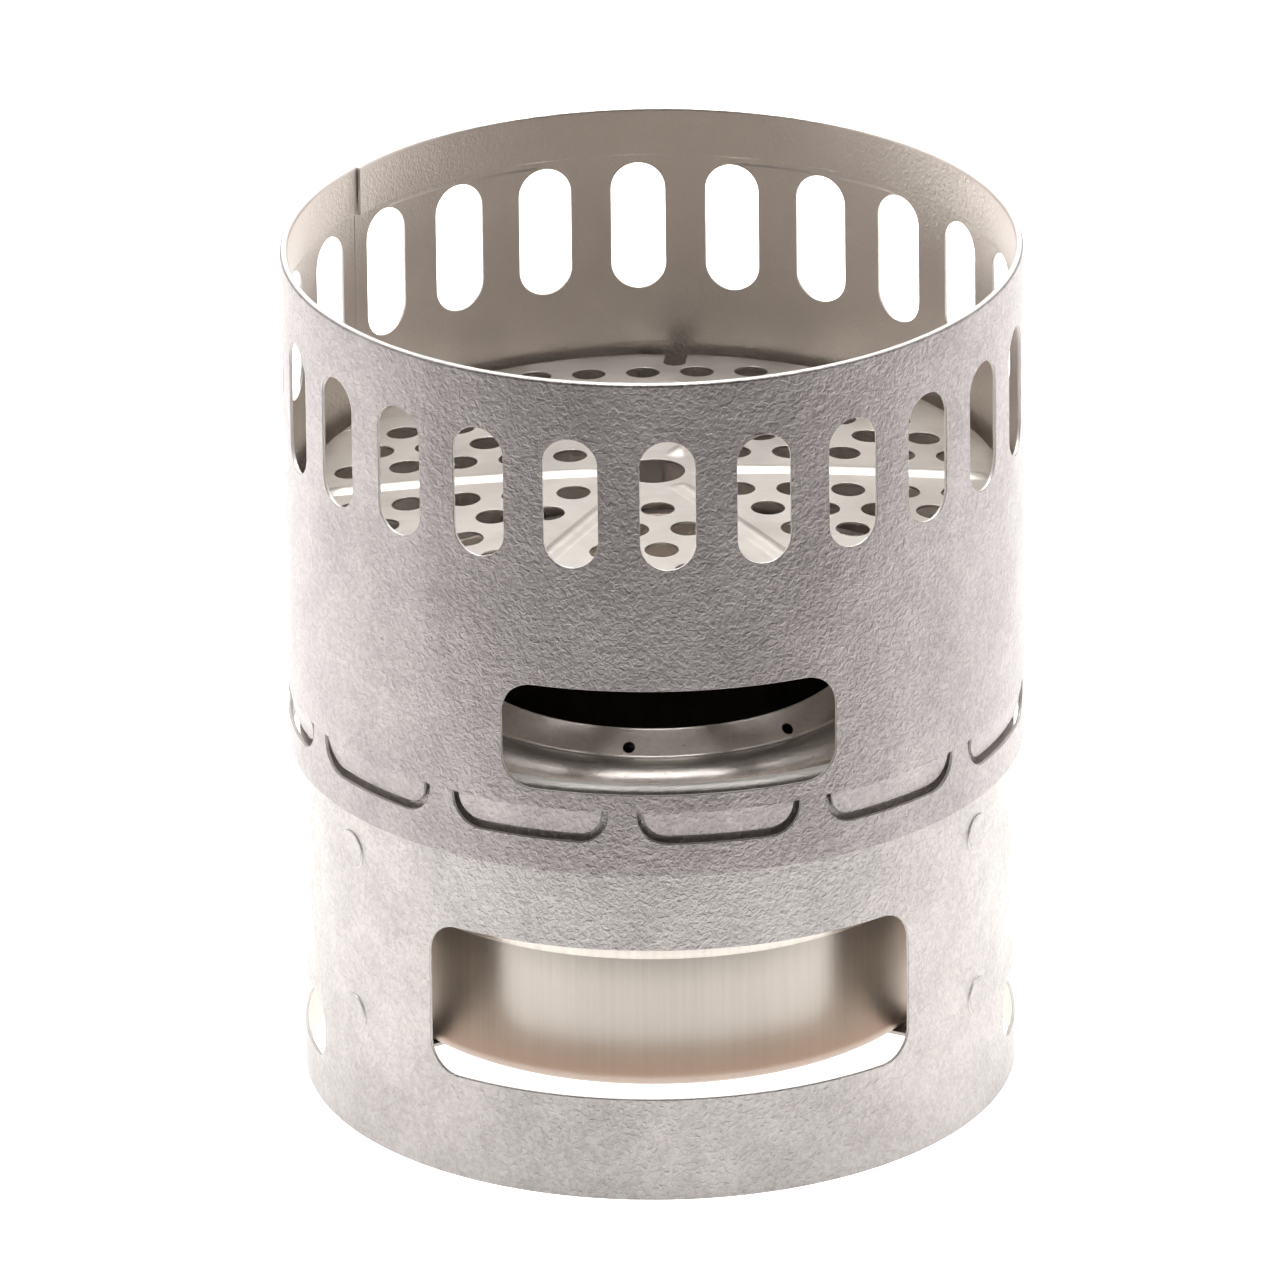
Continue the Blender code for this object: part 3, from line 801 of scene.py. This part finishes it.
def spun(name, profile, steps):
    """A spun sheet: the outer profile, from its inner edge over the top and down, turned round Z."""
    mesh = bpy.data.meshes.new(name)
    points = [(radius, 0, height) for radius, height in profile]
    mesh.from_pydata(points, [(i, i + 1) for i in range(len(points) - 1)], [])
    made = bpy.data.objects.new(name, mesh)
    bpy.context.scene.collection.objects.link(made)
    screw = made.modifiers.new("turn", "SCREW")
    screw.axis = "Z"
    screw.angle = 2 * math.pi
    screw.steps = steps
    screw.render_steps = steps
    screw.use_merge_vertices = True
    screw.merge_threshold = SPIN_MERGE
    screw.use_smooth_shade = True
    wall = made.modifiers.new("wall", "SOLIDIFY")
    wall.thickness = SHEET
    wall.offset = -1
    wall.use_even_offset = True
    rim = made.modifiers.new("rim", "BEVEL")
    rim.width = FINE_ROUND
    rim.segments = 2
    rim.limit_method = "ANGLE"
    rim.angle_limit = math.radians(60)
    return made


def settled(made, material, body, slot, *nodes):
    """Applies a piece's modifiers, and gives it its metal, its body and the node that it stands for."""
    graph = bpy.context.evaluated_depsgraph_get()
    bpy.context.view_layer.update()
    mesh = bpy.data.meshes.new_from_object(made.evaluated_get(graph))
    made.modifiers.clear()
    made.data = mesh
    mesh.shade_smooth()
    mesh.set_sharp_from_angle(angle=math.radians(50))
    mesh.materials.clear()
    mesh.materials.append(material)
    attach(made, body)
    if nodes:
        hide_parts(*nodes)
    return made


def eased(before, start, end, after, t):
    """The Catmull-Rom value between start and end."""
    square = 2 * before - 5 * start + 4 * end - after
    cube = 3 * start - before - 3 * end + after
    return 0.5 * (2 * start + (end - before) * t + square * t**2 + cube * t**3)


def curve_through(points, steps):
    """A smooth line through the points, for a pressed section."""
    line = []
    ends = [points[0], *points, points[-1]]
    for spans in zip(ends, ends[1:], ends[2:], ends[3:]):
        for i in range(steps):
            line.append(tuple(eased(*values, i / steps) for values in zip(*spans)))
    return [*line, points[-1]]


def burner_jacket():
    """The burner's top: opening lip, jet cone, groove, rounded shoulder and the skirt over the cup."""
    lip_height = BURNER_TOP - OPENING_LIP
    lip = [(OPENING_RADIUS, BURNER_TOP - OPENING_DEPTH), (OPENING_RADIUS, lip_height)]
    lip += arc((OPENING_RADIUS + OPENING_LIP, lip_height), OPENING_LIP, 165, 75, 5)
    rise = SHOULDER_CREST[1] - SHOULDER_DROP
    reach = BURNER_RADIUS - SHOULDER_CREST[0]
    shoulder = [
        (SHOULDER_CREST[0] + reach * math.sin(t), SHOULDER_DROP + rise * math.cos(t))
        for t in (math.pi / 2 * i / 16 for i in range(17))
    ]
    pressed = curve_through([CONE_FOOT, GROOVE, GROOVE_RISE, SHOULDER_SWELL, SHOULDER_CREST], 5)
    wall = [(BURNER_RADIUS, JOINT_HEIGHT + (SHOULDER_DROP - JOINT_HEIGHT) * share) for share in (0.5, 0.04)]
    profile = [*lip, CONE_TOP, *pressed[:-1], *shoulder, *wall, (BURNER_RADIUS - JOINT_STEP, JOINT_HEIGHT)]
    jacket = spun("burner_jacket_shell", profile, SPIN_STEPS)
    slope = math.atan2(CONE_FOOT[0] - CONE_TOP[0], CONE_TOP[1] - CONE_FOOT[1])
    drills = []
    for i in range(JET_COUNT):
        degrees = JET_START + 360 / JET_COUNT * i
        x, y = polar((CONE_TOP[0] + 3 * CONE_FOOT[0]) / 4, degrees)
        bm = bmesh.new()
        bmesh.ops.create_cone(
            bm, cap_ends=True, segments=24, radius1=JET_RADIUS, radius2=JET_RADIUS, depth=JET_DRILL
        )
        mesh = bpy.data.meshes.new("drill")
        bm.to_mesh(mesh)
        bm.free()
        drill = bpy.data.objects.new("drill", mesh)
        bpy.context.scene.collection.objects.link(drill)
        drill.location = (x, y, (CONE_TOP[1] + 3 * CONE_FOOT[1]) / 4)
        drill.rotation_euler = (math.pi / 2 - slope, 0, math.radians(degrees))
        cut = jacket.modifiers.new("jet", "BOOLEAN")
        cut.object = drill
        cut.operation = "DIFFERENCE"
        drills.append(drill)
    bpy.context.view_layer.update()
    finish = spun_titanium("burner_top_finish", (0.47, 0.43, 0.40), (0.22, 0.20, 0.185))
    settled(jacket, finish, "burner", "burner_titanium", "burner_jacket")
    for drill in drills:
        bpy.data.objects.remove(drill)


def burner_cup():
    """The deep-drawn cup under the burner's top, with a dished base."""
    radius = BURNER_RADIUS - SHEET - CUP_CLEARANCE
    dish = BURNER_BASE + BASE_DISH
    corner = arc((radius - CUP_CORNER, BURNER_BASE + CUP_CORNER), CUP_CORNER, 0, -90, 14)
    profile = [(radius, CUP_TOP), (radius, CUP_WALL_BREAK), *corner, (BASE_RING[0], BURNER_BASE)]
    profile += [(BASE_RING[1], dish), (BASE_MIDDLE, dish), (0, dish)]
    cup = spun("burner_cup_shell", profile, SPIN_STEPS)
    finish = drawn_titanium(
        "burner_cup_finish", (0.54, 0.49, 0.44), (0.32, 0.285, 0.25), (0.50, 0.385, 0.32), 17 * MM
    )
    settled(cup, finish, "burner", "cup_titanium", "burner_cup")


def burner_sleeve():
    """The inner wall of the burner, slightly waisted, from its top down."""
    low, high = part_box("burner_inner_sleeve")
    profile = []
    for i in range(SLEEVE_LEVELS + 1):
        waist = SLEEVE_WAIST * math.sin(math.pi * i / SLEEVE_LEVELS) ** 8
        profile.append((high.x - waist, high.z + (low.z - high.z) * i / SLEEVE_LEVELS))
    sleeve = spun("burner_sleeve_shell", profile, SLEEVE_STEPS)
    # Painted shade: the sleeve is painted near-black for the shade deep in the burner's opening.
    finish = dull_titanium("sleeve_painted_shade_finish", (0.17, 0.155, 0.14), (0.07, 0.065, 0.06))
    settled(sleeve, finish, "burner", "sleeve_titanium", "burner_inner_sleeve")


def burner_brackets():
    """The brackets keep their own solids, in a dull metal."""
    finish = dull_titanium("bracket_finish", (0.58, 0.55, 0.52), (0.42, 0.40, 0.37))
    for index in range(1, 5):
        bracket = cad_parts[f"burner_bracket_{index}"]
        bracket.data.materials.clear()
        bracket.data.materials.append(finish)


def studio_floor():
    """A white floor with a painted glow: it emits light round the stove and to both sides, and fades out in
    front.
    """
    finish = Finish("floor_with_painted_glow")
    cloud = finish.noise(finish.place, 3.0, 2.0, 0.5)
    colour = finish.mix(cloud, (0.90, 0.90, 0.90), (0.93, 0.93, 0.93))
    x = finish.node("ShaderNodeSeparateXYZ", {}, finish.place, out="X")
    y = finish.node("ShaderNodeSeparateXYZ", {}, finish.place, out="Y") - GLOW_MIDDLE
    reach = (x * x * GLOW_WIDTH + y * y).power(0.5)
    # Painted light: the floor itself glows, a pool of light round the stove that fades out in front.
    glow = finish.mix(reach.between(*GLOW_FADE), (GLOW, GLOW, GLOW), (0, 0, 0))
    material = finish.end(
        colour, 0.30 + cloud * 0.1, metallic=0.0, Emission_Color=glow, Emission_Strength=1.0
    )
    bpy.ops.mesh.primitive_circle_add(
        vertices=96, radius=FLOOR_RADIUS, fill_type="NGON", location=(0, 0, -FLOOR_DROP)
    )
    floor = bpy.context.object
    floor.name = "studio_floor"
    floor.data.materials.append(material)


def softbox(name, place, size, power, target=BOX_AIM):
    light = bpy.data.lights.new(name, "AREA")
    light.shape = "RECTANGLE"
    light.size, light.size_y = size
    light.energy = power
    lamp = bpy.data.objects.new(name, light)
    lamp.location = place
    aim = Vector(target) - Vector(place)
    lamp.rotation_euler = aim.to_track_quat("-Z", "Y").to_euler()
    bpy.context.scene.collection.objects.link(lamp)
    return light


def studio_light():
    """A white studio that is dim in front of the stove, with tall soft boxes at both sides."""
    softbox("left_box", *LEFT_BOX)
    softbox("right_box", *RIGHT_BOX)
    softbox("back_box", *BACK_BOX)
    overhead = softbox("overhead_box", *OVERHEAD_BOX, OVERHEAD_AIM)
    overhead.spread = math.radians(OVERHEAD_SPREAD)
    world = bpy.data.worlds.new("studio")
    bpy.context.scene.world = world
    world.use_nodes = True
    tree = world.node_tree
    background = tree.nodes["Background"]
    coordinates = tree.nodes.new("ShaderNodeTexCoord")
    split = tree.nodes.new("ShaderNodeSeparateXYZ")
    tree.links.new(coordinates.outputs["Generated"], split.inputs[0])
    ramp = tree.nodes.new("ShaderNodeMapRange")
    ramp.interpolation_type = "SMOOTHSTEP"
    for socket, value in zip(ramp.inputs[1:5], (*ROOM_FADE, FRONT_LIGHT, REAR_LIGHT)):
        socket.default_value = value
    tree.links.new(split.outputs["Y"], ramp.inputs[0])
    tree.links.new(ramp.outputs[0], background.inputs["Strength"])
    background.inputs["Color"].default_value = ROOM_COLOUR


def camera():
    """The camera at the front, looking down on the stove, with a slight roll and a long lens."""
    azimuth, elevation, roll_angle = map(math.radians, (CAMERA_AZIMUTH, CAMERA_ELEVATION, CAMERA_ROLL))
    level = math.cos(elevation)
    towards = Vector((math.sin(azimuth) * level, -math.cos(azimuth) * level, math.sin(elevation)))
    target = Vector((0, 0, UPPER_TOP - TARGET_DEPTH * UPPER_RADIUS))
    place = target + towards * CAMERA_DISTANCE
    right = Vector((math.cos(azimuth), math.sin(azimuth), 0))
    up = towards.cross(right)
    tilted_right = right * math.cos(roll_angle) + up * math.sin(roll_angle)
    tilted_up = up * math.cos(roll_angle) - right * math.sin(roll_angle)
    aim = target + tilted_up * AIM_UP * UPPER_RADIUS - tilted_right * AIM_LEFT * UPPER_RADIUS
    back = (place - aim).normalized()
    side = (tilted_right - back * tilted_right.dot(back)).normalized()
    top = back.cross(side)
    lens = bpy.data.cameras.new("front_camera")
    lens.lens = CAMERA_LENS
    lens.sensor_width = SENSOR
    lens.clip_end = 50
    viewer = bpy.data.objects.new("front_camera", lens)
    viewer.matrix_world = Matrix((
        (side.x, top.x, back.x, place.x),
        (side.y, top.y, back.y, place.y),
        (side.z, top.z, back.z, place.z),
        (0, 0, 0, 1),
    ))
    bpy.context.scene.collection.objects.link(viewer)
    bpy.context.scene.camera = viewer


def main():
    camera()
    studio_floor()
    studio_light()
    bpy.context.scene.view_settings.view_transform = "Standard"
    lower_shell()
    burner_brackets()
    burner_cup()
    burner_sleeve()
    burner_jacket()
    fire_grate()
    upper_shell()


main()
